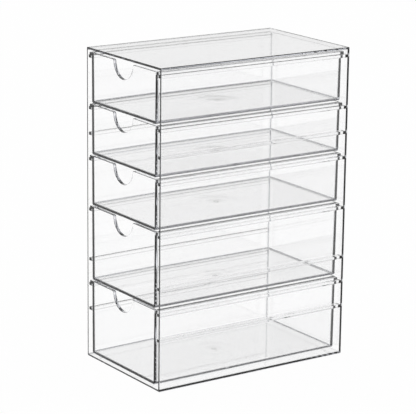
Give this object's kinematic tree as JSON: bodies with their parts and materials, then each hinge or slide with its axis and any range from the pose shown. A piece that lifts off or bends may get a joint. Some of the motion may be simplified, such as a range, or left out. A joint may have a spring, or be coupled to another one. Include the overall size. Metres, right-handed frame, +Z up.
{
  "type": "drawer tower",
  "caption": "Clear plastic vanity tower: an open-fronted case whose drawers hang on side rails and pull out by half-round finger notches.",
  "frame": {"origin": "middle of the case's footprint, on the surface it stands on", "axes": "+Z up, drawers open towards -Y, +X to the right when looking at the drawer fronts"},
  "size_m": [0.137, 0.228, 0.326],
  "materials": {
    "clear_case": "clear, polished, water-white",
    "clear_drawer": "clear, polished, water-white"
  },
  "bodies": {
    "case": {"case": "clear_case"},
    "top_drawer": {"top_drawer": "clear_drawer"},
    "second_drawer": {"second_drawer": "clear_drawer"},
    "third_drawer": {"third_drawer": "clear_drawer"},
    "fourth_drawer": {"fourth_drawer": "clear_drawer"},
    "bottom_drawer": {"bottom_drawer": "clear_drawer"}
  },
  "joints": [
    {"name": "top_drawer_slide", "type": "slide", "parent": "case", "child": "top_drawer", "axis": [0, -1, 0], "range_m": [0, 0.16]},
    {"name": "second_drawer_slide", "type": "slide", "parent": "case", "child": "second_drawer", "axis": [0, -1, 0], "range_m": [0, 0.16]},
    {"name": "third_drawer_slide", "type": "slide", "parent": "case", "child": "third_drawer", "axis": [0, -1, 0], "range_m": [0, 0.16]},
    {"name": "fourth_drawer_slide", "type": "slide", "parent": "case", "child": "fourth_drawer", "axis": [0, -1, 0], "range_m": [0, 0.16]},
    {"name": "bottom_drawer_slide", "type": "slide", "parent": "case", "child": "bottom_drawer", "axis": [0, -1, 0], "range_m": [0, 0.16]}
  ]
}
